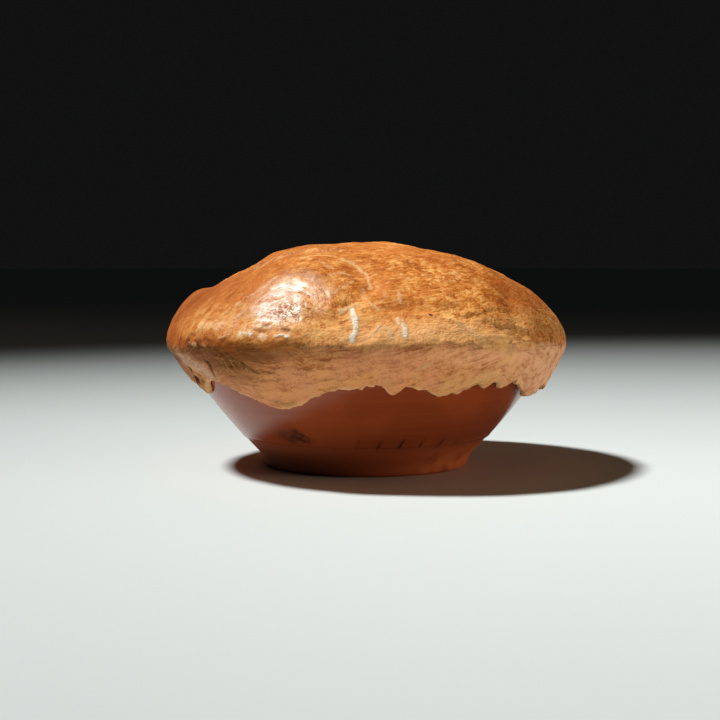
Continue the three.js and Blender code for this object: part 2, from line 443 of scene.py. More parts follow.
# lines that wrinkles follow: rings round these lobes, level rings elsewhere, and swags under the lip
flowLines = {
    "lobes": [(247, 84), (62, 78), (128, 80)],
    "lobeReach": (17, 27),     # rings round a lobe end between these distances from its middle
    "lobeEnd": (82, 90),       # and between these places on the sheet
    "crownStray": (12, 22),    # how far level rings stray at the crown, and in lumps of what size
    "crownEnd": (40, 70),
    "swagKnots": [25, 100, 165, 225, 310],
    "swagSag": 12,
    "sweepAngle": 200,         # the left shoulder is drawn into folds that run up to the crown
    "sweepRadius": 65,
    "sweeps": [(200, 30), (45, 40)],  # angle and half width of all such places
    "sweepStart": (25, 45),
}


def wrinkleFlow(points, angle, length, skirt):
    stray, size = flowLines["crownStray"]
    flow = length + stray * cloud(points, size, 30) * (1 - ease(*flowLines["crownEnd"], length))
    for place in flowLines["lobes"]:
        away = np.linalg.norm(points - domeSpot(*place), axis=1)
        ringed = (1 - ease(*flowLines["lobeReach"], away)) * (1 - ease(*flowLines["lobeEnd"], length))
        flow = mix(flow, away, ringed)
    first = flowLines["swagKnots"][0]
    knots = [k - first for k in flowLines["swagKnots"]] + [360]
    turned = (angle - first) % 360
    share = np.interp(turned, knots, range(len(knots))) % 1
    swag = length + flowLines["swagSag"] * (2 * share - 1) ** 2
    return mix(flow, swag, skirt)


# marks on the dough: path on the sheet, width, groove depth (a ridge where it is below 0),
# height of the fold above the path, flour, scorch
# the paths were picked by eye as pixels, and a separate script turned them into places on the sheet
marks = [
    # pale streaks between the front lobes
    ([(258.5, 49.2), (261.1, 49.4), (263.6, 50.5)], 1.3, 0.2, 0.2, 0.45, 0),
    ([(263.6, 50.5), (266.2, 53.6), (268.7, 56.7), (270, 58.7)], 0.8, 0.3, 0.2, 0.5, 0),
    ([(270.3, 60.7), (270.9, 64.5), (271.1, 67.2)], 0.9, 0.1, 0, 0.5, 0),
    ([(268.7, 69.9), (269.2, 73.2), (269.8, 75.6)], 1.3, 0.1, 0, 0.36, 0),
    ([(270.7, 77.9), (271.8, 80.1), (273.2, 81.4)], 1, -0.2, 0, 0.36, 0),
    ([(275.7, 71.6), (278.3, 70.7), (280.2, 71.6)], 1.3, -0.2, 0, 0.25, 0),
    ([(280.4, 72.5), (280.5, 74.8), (279.9, 77.2)], 1, -0.2, 0, 0.45, 0),
    ([(274.6, 77.1), (275.9, 74.8), (276.7, 74)], 1, -0.1, 0, 0.25, 0),
    ([(260.1, 74), (262.3, 70.7), (264.1, 67.2), (265.4, 64.5)], 1, 0.1, 0, 0.4, 0),
    ([(256.5, 64.5), (259.4, 61.7), (261.4, 60.7), (264.1, 60.7)], 0.7, 0.1, 0, 0.4, 0),
    ([(240, 52.2), (245.1, 53.6), (251.5, 55.7), (255, 58.7), (257.1, 59.7)], 0.8, 0.3, 0, 0.36, 0),
    ([(261.2, 80.8), (263.3, 80.1), (264.3, 78.6), (265.8, 77.9), (268, 75.6)], 0.7, 0.3, 0.3, 0, 0),
    ([(263.2, 80.1), (264.3, 78.7), (265.2, 78.2)], 0.4, 0.3, 0, 0, 0.4),
    ([(262.8, 82.4), (264.5, 80.9), (265.9, 79.9), (267.7, 78.9)], 1.2, -0.4, 0, 0.5, 0),
    # white fingers in front
    ([(266, 82.1), (266.5, 85.3), (267.1, 88.8), (267, 91.9), (266.4, 94.6)], 1.2, -0.4, 0, 1, 0),
    ([(279.5, 87.7), (279.5, 90.9), (279.5, 93.7)], 1.2, -0.3, 0, 0.8, 0),
    ([(278.2, 85.9), (278.3, 88.3)], 0.7, 0, 0, 0.7, 0),
    ([(271.8, 93.3), (272.5, 90.9), (272.9, 89.3)], 0.8, -0.2, 0, 0.5, 0),
    ([(272.9, 89.3), (273.3, 91.4), (273.3, 93.3)], 0.8, -0.2, 0, 0.5, 0),
    ([(274.8, 90.4), (275.7, 91.4), (276.1, 94.6)], 1.2, -0.2, 0, 0.5, 0),
    # folds of the dome
    ([(208, 53.4), (214, 44), (225, 35.2), (247, 35.2), (256, 36.7)], 1.4, 0.3, 0.9, 0.25, 0),
    ([(237.7, 47.2), (232.1, 56.7), (227.7, 62.7)], 1.6, 0.4, 0.5, 0, 0.15),
    ([(236.8, 65.5), (233.7, 70.8), (230.2, 76.6), (225.6, 85.2)], 0.9, -0.3, 0, 0.3, 0),
    ([(274.6, 80.8), (278.1, 80.8), (282.5, 80.8), (286, 81.5), (291.9, 82.6), (300, 86)],
     1.5, 0.25, 0.2, 0, 0.1),
    ([(278.7, 83.5), (281.9, 84.7), (285.4, 84.1), (290.3, 86), (294.4, 87.3)], 0.9, -0.25, 0, 0.25, 0),
    ([(296.6, 85.3), (301.7, 85.3), (308.8, 82.6)], 1, 0.3, 0.5, 0, 0.15),
    ([(304.6, 87.5), (306.2, 89.8), (308, 91.4), (312, 90.6)], 0.8, 0.4, 0.4, 0, 0.15),
    ([(323.7, 75.9), (318.4, 83.3), (316.8, 88.9), (317.9, 93.2)], 4, 0.5, 0, 0, 0.12),
    ([(193.7, 73.7), (198.2, 77.8), (196.4, 85.3), (193.6, 91)], 1.8, 0.9, 0, 0, 0.4),
    # crackle and flakes along the lip
    # the next three white flecks are painted glints: light caught by crumbs of the lip, drawn as flour
    ([(236, 93.9), (239, 93.8)], 1.1, -0.3, 0, 0.8, 0),
    ([(242, 94.8), (243.4, 95)], 1, -0.2, 0, 0.6, 0),
    ([(246.5, 94.5), (250.1, 94.8)], 0.9, -0.4, 0, 0.85, 0),
    ([(242.6, 90.7), (244, 90.2)], 0.7, 0.4, 0, 0, 0.6),
    ([(241.6, 92.9), (242.8, 92.6)], 0.7, 0.4, 0, 0, 0.6),
    ([(248.2, 92.1), (249.9, 92.1)], 0.8, 0.4, 0.2, 0, 0.7),
    ([(246, 91.9), (247, 91.5)], 1.2, 0.2, 0, 0, 0.3),
    ([(217.9, 90.8), (222.6, 90.7), (227.5, 91.1)], 2, -0.3, 0, 0.42, 0),
    ([(213.9, 95.4), (216, 95), (218, 95.4)], 0.7, 0.4, 0, 0, 0.5),
    ([(222.5, 96.6), (224.5, 97), (226, 98)], 0.8, 0.4, 0, 0, 0.5),
    ([(215.1, 98.3), (219.3, 98.6)], 0.7, -0.4, 0, 0.3, 0),
    ([(221, 98.9), (224.4, 99.5)], 0.7, -0.4, 0, 0.26, 0),
    ([(230.2, 97.2), (231.1, 96.6)], 0.6, 0.4, 0, 0, 0.6),
    ([(228.8, 95.4), (231.8, 95)], 0.6, -0.3, 0, 0.3, 0),
    ([(303, 94.6), (306.1, 94.7), (308.6, 95.6)], 1.4, -0.5, 0, 0.25, 0),
    ([(295.3, 90.1), (297.9, 92.7), (300.5, 95)], 2.2, -0.3, 0, 0.38, 0),
    ([(317, 91.1), (321.4, 93.3)], 1.8, -0.5, 0, 0.28, 0),
    # black specks
    ([(221.7, 73.4), (221.8, 73.5)], 0.5, 0.2, 0, 0, 0.8),
    ([(224.1, 73.4), (224.3, 73.5)], 0.5, 0.2, 0, 0, 1.1),
    ([(287.7, 84.8), (288, 84.9)], 0.5, 0.2, 0, 0, 1.1),
    # left of the skirt
    # dark line where the torn dough lies over the pale patch: its scorch is in part painted shadow
    ([(220, 106.9), (219.3, 110.1), (218.2, 113.5)], 1.1, 1, 0.3, 0, 0.8),
    ([(203.9, 111.6), (203.6, 113)], 1, 1.2, 0, 0, 1),
    ([(207.9, 113.7), (208.3, 114.4)], 0.8, 1.1, 0, 0, 0.9),
    ([(203, 116.4), (204.6, 116.2)], 1, 1.2, 0, 0, 1),
    ([(207.5, 118.7), (207.8, 120.4)], 1.5, -1.3, 0, 0, 0),
    ([(203, 118.2), (204, 118.5)], 1, -1.0, 0, 0, 0),
    ([(240.4, 123.6), (243.4, 124.9), (247, 123.7)], 1.8, 0.4, 0, 0, 0.45),
    ([(248.2, 118.8), (251.7, 117.2), (254.9, 115.3)], 2, -0.2, 0, 0.2, 0),
    # the scorch of the next mark is a painted shadow, in a groove under a fold
    ([(255.5, 111.9), (258, 112.3), (260.6, 111.7)], 1.6, 0.6, 0, 0, 0.3),
    ([(261.5, 104.6), (262.7, 108.9), (263.9, 112.9)], 1, -0.5, 0, 0.25, 0),
    # right of the skirt
    ([(278.9, 109.7), (282.1, 108.4), (285.1, 106.2), (286.6, 104.4)], 0.9, -0.2, 0, 0.28, 0),
    ([(283.3, 111.3), (285.7, 110), (287.5, 108.7)], 0.8, -0.2, 0, 0.25, 0),
    # the scorch of the next mark is a painted shadow under the overlapping edge of the strip
    ([(289.4, 112.9), (295.8, 112.4), (301.6, 110.2), (307.1, 106.7), (309.3, 103.8)],
     1.2, 0.5, -0.6, 0, 0.3),
    ([(291, 107.5), (297, 106.2), (302, 103.6)], 1.3, 0.4, 0.2, 0, 0.15),
    ([(296.5, 98.5), (298.3, 100.4)], 1.8, 0.2, 0, 0, 0.35),
    ([(310.7, 101.4), (311.5, 97.8), (316.2, 97.5)], 0.9, -0.4, 0, 0.3, 0),
    ([(315.9, 96.3), (322.8, 99.6), (329.1, 104.4), (335.4, 110.1)], 0.9, -0.5, 0, 0.34, 0),
    ([(329.5, 103.7), (337.6, 107)], 0.9, -0.4, 0, 0.32, 0),
    ([(315.9, 108.9), (324.8, 115.5), (327.3, 119.5)], 1.2, 0.6, 0.4, 0, 0.2),
]
# rolls of dough along the lip: angle, half width, rise,
# where on the sheet it starts, crests and ends, and how late it rises
rolls = [
    (264, 34, 1.1, 89, 97.5, 109, 1.2),
    (243, 19, 2.6, 73, 95.5, 102.5, 1.4),
    (288, 13, 1.7, 81, 95.5, 111, 1.8),
    (309, 11, 2.2, 89, 106, 120, 1.6),
]
# areas of their own: path on the sheet and width
rawDough = ([(205, 106.5), (212, 109.4), (216, 113)], 5)
paleStrip = (
    [(310.2, 101.1), (309.6, 104.8), (308.2, 109.7), (305.6, 112.3), (302.3, 114.2), (295, 115.8)],
    4,
)

# the left of the skirt is pulled into strands, pale and dark by turns
strand = {
    "count": 18,
    "angle": (226.5, 234.5),
    "place": (99, 105),
    "play": 2,
    "width": (0.45, 0.75),
    "groove": (-0.6, 0.5),   # pale, dark
    "flour": (0.25, 0),
    "scorch": (0, 0.45),
}


def strands():
    made = []
    for i in range(strand["count"]):
        share, dark = i / (strand["count"] - 1), i % 2
        angle = mix(*strand["angle"], share) + strand["play"] * draw(i)
        place = mix(*strand["place"], share) + strand["play"] * draw(i + 20)
        path = [(angle, place)]
        path.append((angle + 0.3 + 3.5 * share, place + 6 - 2.5 * share))
        path.append((angle + 1 + 8 * share, place + 11 - 8 * share))
        width = mix(*strand["width"], draw(i + 50))
        made.append((path, width, strand["groove"][dark], 0.0, strand["flour"][dark], strand["scorch"][dark]))
    return made


# the side that the marks above leave bare gets streaks, folds and cracks of its own
backMark = {
    "count": 26,
    "angle": (-25, 185),
    "place": (34, 97),
    "end": 99,               # no mark runs past this place
    "steps": 3,
    "reach": (5, 16),
    "bend": 0.9,             # radians at each step
    "width": (0.8, 1.4),
    "groove": (0.2, 0.7),
    "fold": 0.6,
    "scorch": 0.25,
}


def backMarks():
    made = []
    for seed in range(200, 200 + 7 * backMark["count"], 7):
        angle, place = mix(*backMark["angle"], draw(seed)), mix(*backMark["place"], draw(seed + 1) ** 0.6)
        heading, step = math.pi * draw(seed + 2), mix(*backMark["reach"], draw(seed + 3)) / backMark["steps"]
        path = []
        for i in range(backMark["steps"] + 1):
            path.append((angle, place))
            heading += backMark["bend"] * (draw(seed + 40 * i + 4) - 0.5)
            angle += math.degrees(math.cos(heading) * step / max(0.85 * place, 20))
            place = min(place + 0.7 * math.sin(heading) * step, backMark["end"])
        floury, fold = 0.6 * max(draw(seed + 5) - 0.45, 0), backMark["fold"] * draw(seed + 6)
        width, groove = mix(*backMark["width"], draw(seed + 8)), mix(*backMark["groove"], draw(seed + 9))
        made.append((path, width, groove, fold, floury, backMark["scorch"] * (1 - floury)))
    return made


def markReach(angle, length, radius, path):
    # distance to a path drawn on the dough, and how far past it, towards the edge, a point lies
    nearest = np.full(len(angle), 1e3)
    below = np.zeros(len(angle))
    for (a0, s0), (a1, s1) in zip(path, path[1:]):
        x, y = np.radians(turn(a0, angle)) * radius, length - s0
        ex, ey = math.radians(turn(a0, a1)) * radius, s1 - s0
        share = np.clip((x * ex + y * ey) / (ex * ex + ey * ey), 0, 1)
        offX, offY = x - share * ex, y - share * ey
        distance = np.hypot(offX, offY)
        closer = distance < nearest
        nearest = np.where(closer, distance, nearest)
        below = np.where(closer, offY, below)
    return nearest, below


# a layer of unevenness is (height, size of its lumps, seed)
# a place round the pie is (angle, half width), with an amount after it where it has one
wrinkles = {
    "skirtStart": (97, 104),   # along the dough, where the dome turns into the skirt
    "skirtBorder": [(3, 14, 8), (1.4, 5, 12), (0.8, 2.3, 16)],   # how that line strays
    "swell": [(0.45, 15, 4), (0.18, 6.5, 5), (0.07, 3, 6)],
    "ringStretch": 2.6,            # how much longer than wide the rings' crests are
    "foldStretch": 4,
    "ringStray": (2.5, 8, 15),
    "foldStray": (2.5, 8, 18),
    "domeRings": [(0.10, 4.2, 7), (0.05, 2.4, 9)],
    "sweptFolds": [(0.28, 7, 17)],
    "skirtRings": [(0.25, 5.5, 7), (0.15, 2.8, 9)],
    "skirtPull": (232, 22, 0.8),   # rings are deeper there
    "belt": (90, 8),               # blistered ring above the lip: place along the dough, half width
    "beltGaps": [(198, 18, 0.75), (90, 75, 0.4)],
    "bubbles": [(4.2, 19), (2.6, 20)],   # size and seed
    "lip": (100, 6),               # place along the dough, half width
    "lipLayer": (0.7, 11, 13),
    "lumpySpot": [(295, 26, 98, 5, 1)],
    "lumpyLayer": (0.6, 6, 32),
    "flap": (334, 26),             # the loose part of the skirt
    "flapLayer": (0.5, 9, 26),
    "crumbs": (0.5, 2.6, 27),
    "knob": (186, 16),
    "knobTucks": [(65.5, 4.5, 1.2), (49, 4, 0.7)],   # radius, half width, depth
    "markWaver": (0.9, 4, 11),
}


class Dough:  # the lid's vertices, their places on the sheet and what is shared by wrinkles and paint
    def __init__(self, mesh, along, angle, radius, height):
        self.points, self.normals = readPoints(mesh), readNormals(mesh)
        self.along, self.angle, self.radius = along, angle, radius
        self.length = doughLength(along, angle, height)
        raised = lipRaise(angle) * np.clip(along, 0, 1) ** lid["lipBlend"]
        self.sheet = self.length - skirtSlant * raised  # as on an even lip
        self.waver = self.layers([wrinkles["markWaver"]])
        self.skirt = ease(*wrinkles["skirtStart"], self.length + self.layers(wrinkles["skirtBorder"]))
        self.flow = wrinkleFlow(self.points, angle, self.length, self.skirt)
        swung = np.radians(turn(flowLines["sweepAngle"], angle))
        self.swept = flowLines["sweepRadius"] * swung + self.layers([wrinkles["foldStray"]])
        sweeps = sum(self.near(*place) for place in flowLines["sweeps"])
        self.sweep = sweeps * ease(*flowLines["sweepStart"], self.length) * (1 - self.skirt)
        place, width = wrinkles["belt"]
        self.belt = bump(self.length - place, width) * (1 - self.skirt) * (0.8 + 0.6 * self.lumps(16, 28))
        self.belt *= 1 - sum(amount * self.near(*place) for *place, amount in wrinkles["beltGaps"])

    def lumps(self, size, seed):
        return cloud(self.points, size, seed)

    def layers(self, layers):
        return sum(height * self.lumps(size, seed) for height, size, seed in layers)

    def near(self, angle, width):
        return bump(turn(angle, self.angle), width)

    def patches(self, spots, where):  # spots are (angle, half width, place, half length, strength)
        total = 0
        for angle, width, place, reach, strength in spots:
            total = total + strength * self.near(angle, width) * bump(where - place, reach)
        return total


def crests(points, layers):
    return sum(height * ridges(points, size, seed) for height, size, seed in layers)


def foldLift(dough):  # level wrinkles, and the folds that run up to the crown
    level, rays = dough.points / wrinkles["ringStretch"], dough.points / wrinkles["foldStretch"]
    level[:, 0] += dough.flow + dough.layers([wrinkles["ringStray"]])
    rays[:, 0] += dough.swept
    folds = mix(crests(level, wrinkles["domeRings"]), crests(rays, wrinkles["sweptFolds"]), dough.sweep)
    *place, more = wrinkles["skirtPull"]
    pulled = (1 + more * dough.near(*place)) * crests(level, wrinkles["skirtRings"])
    return mix(folds, pulled, dough.skirt)


def lipLift(dough):  # the lip rolls unevenly
    sheet = dough.sheet
    place, width = wrinkles["lip"]
    lift = bump(dough.length - place, width) * dough.layers([wrinkles["lipLayer"]])
    lift += dough.patches(wrinkles["lumpySpot"], sheet) * dough.layers([wrinkles["lumpyLayer"]])
    rolled, rough = sheet + 2 * dough.lumps(13, 24), 0.85 + 0.3 * dough.lumps(9, 22)
    for place, width, rise, start, crest, end, late in rolls:
        grown = np.clip((rolled - start) / (crest - start), 0, 1) ** late
        ended = ease(crest + 0.5, end, 0.5 * (sheet + rolled))
        lift += rise * rough * dough.near(place, width) * grown * (1 - ended)
    return lift


def smallLift(dough):  # bubbles, tucks under the knob, waves of the flap and crumbs of the torn edge
    bubbles = sum(np.maximum(dough.lumps(*layer), 0) for layer in wrinkles["bubbles"])
    lift = (0.05 + 0.25 * dough.belt) * bubbles * (1 - dough.skirt)
    for place, width, depth in wrinkles["knobTucks"]:
        lift -= dough.near(*wrinkles["knob"]) * depth * bump(dough.radius - place, width)
    lift += dough.skirt * dough.near(*wrinkles["flap"]) * dough.layers([wrinkles["flapLayer"]])
    height, size, seed = wrinkles["crumbs"]
    return lift + height * bump(dough.along - 2, 0.1) * (dough.lumps(size, seed) + 0.2)


def pressMarks(dough):  # what all the marks do to the height, and where they leave flour and scorch
    lift, flour, scorch = (np.zeros(len(dough.points)) for _ in range(3))
    uneven = 1 + 0.7 * dough.lumps(4.5, 21)
    for path, width, groove, fold, floury, scorched in marks + strands() + backMarks():
        reach, below = markReach(dough.angle, dough.sheet + dough.waver, dough.radius, path)
        reach = reach / uneven
        lift -= groove * bump(reach, width)
        lift += fold * np.exp(-reach / 6) * (1 - ease(-0.6, 0.6, below))
        flour = np.maximum(flour, floury * bump(reach, width * 1.2))
        scorch = np.maximum(scorch, scorched * bump(reach, width * 1.3))
    return lift, flour, scorch


# soft patches of colour: angle, half width, place along the dough, half length, strength
spots = {
    # the lists for the lip and the folds are browner dough with painted shade under the lip, mostly on the
    # left
    "brownAndShadeLip": [(238, 30, 100.5, 4.5, 0.7), (207, 20, 102.5, 4.5, 1.1)],
    "brownDome": [(212, 30, 66, 34, 0.5), (336, 24, 74, 24, 0.7), (240, 16, 47, 6, 0.3)],
    "brownAndShadeFolds": [(230, 12, 107, 10, 0.75), (308, 8, 90, 6, 0.35)],
    "glossLip": [(241, 15, 90, 6, 0.35)],
    # paler peach colour along the lip, in part painted light where the lip on the right falls into shade
    "peach": [(308, 11, 101.5, 4.5, 1), (289, 13, 93, 5.5, 0.9), (270, 14, 95, 5, 0.7),
              (293, 12, 102, 4, 0.5), (306, 9, 96.5, 4, 0.8)],
    # pink at the right of the lip, in part painted light
    "pinkAndPaintedLightLip": [(306, 12, 102, 4, 0.6)],
    "blond": [(300, 30, 62, 20, 1)],
    "crackle": [(249, 9, 84, 7, 1)],
    "flecks": [(214, 13, 98, 3.2, 0.7)],
}
glossSpot = {
    "place": (245, 76.5),     # on the sheet
    "reach": (19, 13.5),      # across and along
    "fade": (0.6, 1.2),
    "leftEdge": (239.6, 61.7),  # one place on its slanted left edge
    "leftSlant": -0.43,       # degrees for each millimetre along the sheet
    "leftFade": (-8, 7),
}


def brownAndShadeShare(dough):  # how brown the dough is, with painted shade under the left of the lip and on the left of the skirt, before the raw patch is left out
    ragged = dough.sheet + 2 * dough.waver
    baked = 0.3 * dough.lumps(22, 14) * (1 - dough.skirt)
    baked += 0.75 * dough.near(192, 24) * ease(50, 85, dough.length)  # the left side is browner
    baked += 0.15 * (1 - ease(38, 60, dough.length))
    baked += dough.patches(spots["brownAndShadeLip"], ragged) + dough.patches(spots["brownDome"], dough.length)
    return np.clip(baked + dough.patches(spots["brownAndShadeFolds"], dough.sheet), 0, 1)


def glossShare(dough):
    g = glossSpot
    across = np.radians(turn(g["place"][0], dough.angle)) * dough.radius / g["reach"][0]
    gloss = np.hypot(across, (dough.sheet - g["place"][1]) / g["reach"][1])
    gloss = 1 - ease(*g["fade"], gloss + 0.35 * dough.lumps(7, 23))
    edge = g["leftEdge"][0] + g["leftSlant"] * (dough.sheet - g["leftEdge"][1])
    gloss *= ease(*g["leftFade"], dough.angle - edge)
    return np.clip(gloss + dough.patches(spots["glossLip"], dough.sheet), 0, 1)


def paintDough(mesh, dough, flour, scorch):
    sheet, length, waver = dough.sheet, dough.length, dough.waver
    flecks = dough.patches(spots["flecks"], sheet) * ease(-0.1, 0.3, dough.lumps(2.2, 25))
    pink = dough.near(*wrinkles["flap"]) * ease(97, 101, length + waver)
    # paler pink and peach at the right of the lip: in part painted light
    pink += dough.patches(spots["pinkAndPaintedLightLip"], sheet)
    peach = dough.patches(spots["peach"], sheet)
    rawPath, rawWidth = rawDough
    raw = bump(markReach(dough.angle, sheet + 3 * waver, dough.radius, rawPath)[0], rawWidth)
    stripPath, stripWidth = paleStrip
    strip = bump(markReach(dough.angle, sheet + 2 * waver, dough.radius, stripPath)[0], stripWidth)
    painted = {
        "skirt": dough.skirt, "flow": dough.flow, "swept": dough.swept, "sweep": dough.sweep,
        "belt": dough.belt, "gloss": glossShare(dough), "flour": flour, "scorch": np.maximum(scorch, flecks),
        # browning, with painted shade under the left of the lip
        "baked": brownAndShadeShare(dough) * (1 - 0.9 * raw), "raw": raw, "strip": strip,
        "hang": np.clip(dough.along - 1, 0, 1) * (dough.along < 3),
        # peach: paler colour, in part painted light at the right of the lip
        "pink": np.clip(pink, 0, 1), "peach": np.clip(peach + 0.3 * waver * peach, 0, 1),
        "blond": dough.patches(spots["blond"], length),
        "crackle": dough.patches(spots["crackle"], sheet + 2 * waver),
    }
    for name, values in painted.items():
        keepValues(mesh, name, values)


def wrinkleLid(mesh, along, angle, radius, height):
    dough = Dough(mesh, along, angle, radius, height)
    marked, flour, scorch = pressMarks(dough)
    lift = marked + dough.layers(wrinkles["swell"]) + foldLift(dough) + lipLift(dough) + smallLift(dough)
    onDough = np.select([along <= 2, along < 3], [1.0, 0.4], 0.0)  # less on the torn edge, none inside
    writePoints(mesh, dough.points + dough.normals * (lift * onDough)[:, None])
    paintDough(mesh, dough, flour, scorch)


# finishes

def shade(*screen):  # screen colour, 0 to 255, to the linear colour that shaders use
    linear = [(c / 255 / 12.92 if c < 11 else ((c / 255 + 0.055) / 1.055) ** 2.4) for c in screen]
    return linear + [1]


def plug(socket, value):
    if isinstance(value, Wire):
        socket.id_data.links.new(value.socket, socket)
    else:
        socket.default_value = value


class Wire:  # one output of a node, with the usual arithmetic
    def __init__(self, socket):
        self.socket = socket

    def reckon(self, operation, *values):
        node = self.socket.id_data.nodes.new("ShaderNodeMath")
        node.operation = operation
        for socket, value in zip(node.inputs, values):
            plug(socket, value)
        return Wire(node.outputs[0])

    def __add__(self, other):
        return self.reckon("ADD", self, other)

    def __radd__(self, other):
        return self.reckon("ADD", other, self)

    def __sub__(self, other):
        return self.reckon("SUBTRACT", self, other)

    def __rsub__(self, other):
        return self.reckon("SUBTRACT", other, self)

    def __mul__(self, other):
        return self.reckon("MULTIPLY", self, other)

    def __rmul__(self, other):
        return self.reckon("MULTIPLY", other, self)

    def __abs__(self):
        return self.reckon("ABSOLUTE", self)


class Finish:  # a material and the few kinds of node that it needs
    def __init__(self, name):
        self.material = bpy.data.materials.new(name)
        self.material.use_nodes = True
        self.tree = self.material.node_tree
        self.shader = self.tree.nodes["Principled BSDF"]
        spot = self.node("ShaderNodeTexCoord", output="Object")
        self.at = self.node("ShaderNodeVectorMath", {"operation": "SCALE"}, {0: spot, "Scale": 1 / mm})

    def node(self, kind, settings={}, inputs={}, output=0):
        node = self.tree.nodes.new(kind)
        for name, value in settings.items():
            setattr(node, name, value)
        for name, value in inputs.items():
            plug(node.inputs[name], value)
        return Wire(node.outputs[output])

    def painted(self, name):
        return self.node("ShaderNodeAttribute", {"attribute_name": name}, output="Fac")

    def stretched(self, x, y, z):
        return self.node("ShaderNodeVectorMath", {"operation": "MULTIPLY"}, {0: self.at, 1: (x, y, z)})

    def lumps(self, size, detail=3, where=None, distortion=0):
        inputs = {"Vector": where or self.at, "Scale": 1 / size, "Detail": detail, "Distortion": distortion}
        return self.node("ShaderNodeTexNoise", {}, inputs, "Fac")

    def cells(self, size, where=None, output="Distance"):
        return self.node("ShaderNodeTexVoronoi", {}, {"Vector": where or self.at, "Scale": 1 / size}, output)

    def fade(self, value, low, high):
        inputs = {"Value": value, "From Min": low, "From Max": high}
        return self.node("ShaderNodeMapRange", {"interpolation_type": "SMOOTHSTEP"}, inputs)

    def tint(self, under, over, amount):
        inputs = {0: amount, 6: under, 7: over}
        return self.node("ShaderNodeMix", {"data_type": "RGBA"}, inputs, 2)

    def wobbled(self, size, amount):  # the place on the piece, shifted about by noise
        inputs = {"Vector": self.at, "Scale": 1 / size, "Detail": 2}
        shift = self.node("ShaderNodeTexNoise", {}, inputs, "Color")
        shift = self.node("ShaderNodeVectorMath", {"operation": "SCALE"}, {0: shift, "Scale": amount})
        return self.node("ShaderNodeVectorMath", {"operation": "ADD"}, {0: self.at, 1: shift})

    def alongFlow(self, flow, stretch):  # coordinates that vary slowly along the wrinkles, fast across them
        slow = self.node("ShaderNodeVectorMath", {"operation": "SCALE"}, {0: self.at, "Scale": 1 / stretch})
        across = self.node("ShaderNodeCombineXYZ", {}, {"X": flow})
        return self.node("ShaderNodeVectorMath", {"operation": "ADD"}, {0: slow, 1: across})

    def set(self, **values):
        for name, value in values.items():
            plug(self.shader.inputs[name.replace("_", " ")], value)

    def relief(self, height):  # height in millimetres
        bent = self.node("ShaderNodeBump", {}, {"Height": height, "Distance": mm, "Strength": 1})
        plug(self.shader.inputs["Normal"], bent)


crust = {
    "deep": shade(160, 84, 22),        # dome, from dark to pale
    "golden": shade(206, 124, 46),
    "pale": shade(236, 168, 90),
    "palest": shade(244, 192, 118),
    "patch": shade(190, 100, 32),
    "blond": shade(244, 188, 118),
    "belt": shade(250, 184, 108),
    "brown": shade(150, 72, 10),
    # paler peach, in part painted light at the right of the lip
    "peach": shade(255, 190, 122),
    # painted highlight, laid over the glossy lines of the front left lobe
    "paintedHighlight": shade(244, 184, 116),
    "crack": shade(156, 92, 50),
    "skirtDeep": shade(178, 96, 40),   # skirt, from dark to pale
    "skirtPale": shade(244, 166, 102),
    "skirtPatch": shade(238, 158, 112),
    # pink of the flap, with painted light at the right of the lip
    "skirtPink": shade(255, 194, 146),
    # in part painted light at the right of the lip
    "skirtPeachAndPaintedLight": shade(252, 178, 124),
    "skirtStrip": shade(252, 190, 122),
    "skirtRaw": shade(210, 166, 134),
    # browner dough and painted shade under the left of the lip
    "skirtBrownAndShade": shade(124, 66, 12),
    # painted highlight along the torn edge, where it catches the light
    "tornEdgeHighlight": shade(250, 200, 146),
    "dust": shade(226, 174, 118),
    "flour": shade(248, 232, 208),
    "scorch": shade(76, 34, 10),
    "coatRoughness": 0.38,
    "specular": 0.18,
}


def crustPatterns(f):
    names = ["skirt", "flow", "swept", "sweep", "belt", "gloss", "flour", "scorch"]
    names += ["baked", "hang", "pink", "blond", "crackle", "raw", "strip", "peach"]
    p = SimpleNamespace(**{name: f.painted(name) for name in names})
    p.big, p.mid, p.small, p.grain = f.lumps(26, 2), f.lumps(8, 3), f.lumps(2.8, 3), f.lumps(0.9, 2)
    p.fringe = f.lumps(1.1, 2, f.alongFlow(p.swept + 1.5 * p.small, 4))  # short upright wrinkles at the lip
    p.below = f.fade(p.skirt + 0.6 * p.fringe - 0.3, 0.2, 0.8)           # the skirt, with a frayed border
    p.rings = f.lumps(0.7, 3, f.alongFlow(p.flow + 4 * p.mid + 1.8 * p.small, 5))
    bands = f.lumps(2.6, 2, f.alongFlow(p.swept + 3 * p.mid, 12))
    dashes = f.lumps(1.3, 2, f.alongFlow(p.flow + 2 * p.small, 2.4))
    p.line = mix(dashes, bands, p.sweep)
    p.fibre = f.lumps(1.2, 3, f.alongFlow(p.flow + 5 * p.mid + 1.5 * p.small, 4))
    p.pimple = 1 - f.fade(f.cells(1.5), 0.1, 0.7)
    loose = f.wobbled(2.5, 3)
    p.blob = (1 - f.fade(f.cells(3, loose), 0.12, 0.5)) * f.fade(f.cells(3, loose, "Color"), 0.3, 0.6)
    p.cracked = f.fade(1 - 2 * abs(f.lumps(2.6, 3, distortion=0.6) - 0.5), 0.86, 0.97) * p.crackle
    # the glossy lines set the coat, and also where the painted highlight goes in the colour
    p.sheen = p.gloss * f.fade(p.rings + 0.5 * p.small + 0.3 * p.grain, 0.62, 0.98)
    return p


